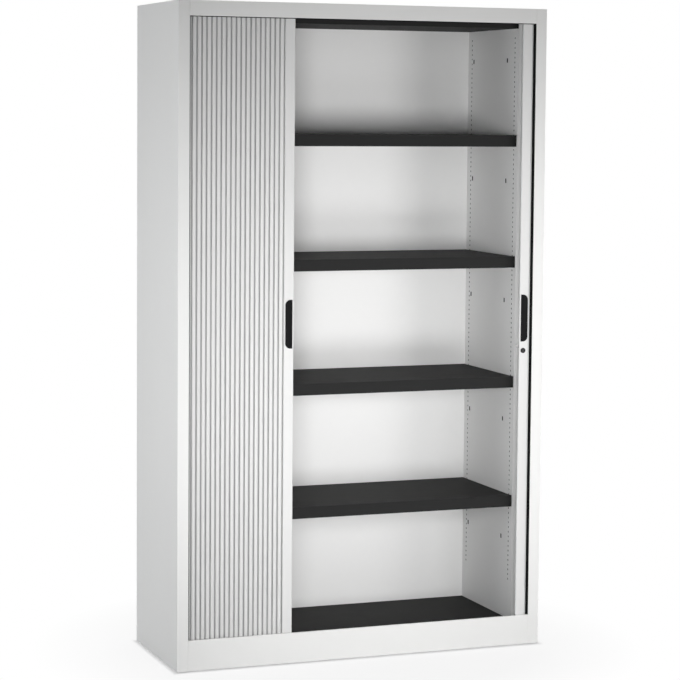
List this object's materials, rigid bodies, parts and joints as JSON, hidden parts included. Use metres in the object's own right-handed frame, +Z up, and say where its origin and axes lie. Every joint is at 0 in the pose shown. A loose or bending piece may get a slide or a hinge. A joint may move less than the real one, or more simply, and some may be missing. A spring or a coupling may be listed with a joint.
{
  "type": "roll front cabinet",
  "caption": "Tall sheet steel cabinet with two roll-front slat shutters on curved tracks, black shelves on clips, a hook lock and levelling feet.",
  "frame": {"origin": "on the floor under the middle of the case", "axes": "+Z up, -Y out of the front with the shutters, +X to the right seen from the front"},
  "size_m": [1.18, 0.44, 1.98],
  "materials": {
    "white_paint": "fine satin powder coat",
    "black_paint": "satin powder coat",
    "black_plastic": "fine matte grain",
    "slat_plastic": "smooth satin",
    "track_plastic": "smooth extruded",
    "nylon": "moulded",
    "zinc": "zinc plated",
    "foot_plastic": "moulded"
  },
  "bodies": {
    "case": {"back_panel": "white_paint", "bottom_rail": "white_paint", "ceiling_pan": "black_paint", "floor_pan": "black_paint", "front_base_channel": "white_paint", "front_left_foot_bracket": "zinc", "front_right_foot_bracket": "zinc", "header_channel": "white_paint", "inner_back_panel": "white_paint", "left_base_box": "white_paint", "left_curtain_corner": "slat_plastic", "left_curtain_side": "slat_plastic", "left_inner_panel": "white_paint", "left_side_panel": "white_paint", "left_upper_carrier": "white_paint", "lower_front_track": "track_plastic", "lower_left_track": "track_plastic", "lower_right_track": "track_plastic", "rear_left_foot_bracket": "zinc", "rear_right_foot_bracket": "zinc", "right_base_box": "white_paint", "right_curtain_bend": "slat_plastic", "right_curtain_corner": "slat_plastic", "right_curtain_return": "slat_plastic", "right_curtain_side": "slat_plastic", "right_inner_panel": "white_paint", "right_side_panel": "white_paint", "right_upper_carrier": "white_paint", "shelf_1": "black_paint", "shelf_2": "black_paint", "shelf_3": "black_paint", "shelf_4": "black_paint", "shelf_clips": "zinc", "top_panel": "white_paint", "top_rail": "white_paint", "track_end_stops": "nylon", "upper_front_track": "track_plastic", "upper_left_track": "track_plastic", "upper_right_track": "track_plastic"},
    "left_shutter": {"left_rail": "white_paint", "left_grip": "black_plastic", "left_rail_shoes": "nylon", "lock_keeper": "zinc", "left_curtain_front": "slat_plastic"},
    "right_shutter": {"right_rail": "white_paint", "right_grip": "black_plastic", "right_rail_shoes": "nylon", "lock_housing": "black_plastic"},
    "lock": {"lock_barrel": "zinc", "lock_hook": "zinc"},
    "front_left_foot": {"front_left_foot": "foot_plastic"},
    "rear_left_foot": {"rear_left_foot": "foot_plastic"},
    "front_right_foot": {"front_right_foot": "foot_plastic"},
    "rear_right_foot": {"rear_right_foot": "foot_plastic"}
  },
  "joints": [
    {"name": "left_shutter_slide", "type": "slide", "parent": "case", "child": "left_shutter", "axis": [1, 0, 0], "range_m": [-0.285, 0.22825], "deforming": ["left_curtain_corner", "left_curtain_front", "left_curtain_side"]},
    {"name": "right_shutter_slide", "type": "slide", "parent": "case", "child": "right_shutter", "axis": [1, 0, 0], "range_m": [-0.51325, 0], "deforming": ["right_curtain_bend", "right_curtain_corner", "right_curtain_return", "right_curtain_side"]},
    {"name": "lock_turn", "type": "hinge", "parent": "right_shutter", "child": "lock", "pos_m": [0.5267, -0.209, 0.927], "axis": [0, -1, 0], "range_deg": [-45, 45]},
    {"name": "front_left_foot_level", "type": "slide", "parent": "case", "child": "front_left_foot", "axis": [0, 0, -1], "range_m": [0, 0.012]},
    {"name": "rear_left_foot_level", "type": "slide", "parent": "case", "child": "rear_left_foot", "axis": [0, 0, -1], "range_m": [0, 0.012]},
    {"name": "front_right_foot_level", "type": "slide", "parent": "case", "child": "front_right_foot", "axis": [0, 0, -1], "range_m": [0, 0.012]},
    {"name": "rear_right_foot_level", "type": "slide", "parent": "case", "child": "rear_right_foot", "axis": [0, 0, -1], "range_m": [0, 0.012]}
  ]
}
